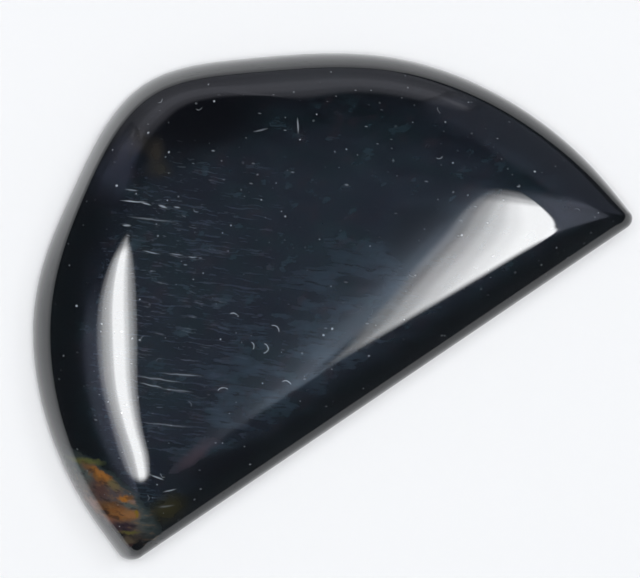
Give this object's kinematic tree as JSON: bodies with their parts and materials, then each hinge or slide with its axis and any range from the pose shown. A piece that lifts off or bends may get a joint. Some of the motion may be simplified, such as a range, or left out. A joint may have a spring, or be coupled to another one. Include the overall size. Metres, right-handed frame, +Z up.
{
  "type": "tiger eye cabochon",
  "caption": "Free-form half-moon cabochon of dyed tiger eye: polished dome over a leaning girdle wall, with a flat lapped back.",
  "frame": {"origin": "on the plane of the flat back, under the middle of the stone's box", "axes": "+X along the straight side, which is the longest extent; +Y from the straight side towards the round side; +Z up out of the flat back through the dome, which is the shortest extent"},
  "size_m": [0.046, 0.0288, 0.0062],
  "materials": {
    "dyed_tiger_eye": "polished near-black navy quartz with fine fibres, brown and orange mottles at one tip, and a lapped satin back"
  },
  "bodies": {
    "root": {"tiger_eye_cabochon": "dyed_tiger_eye"}
  },
  "joints": []
}
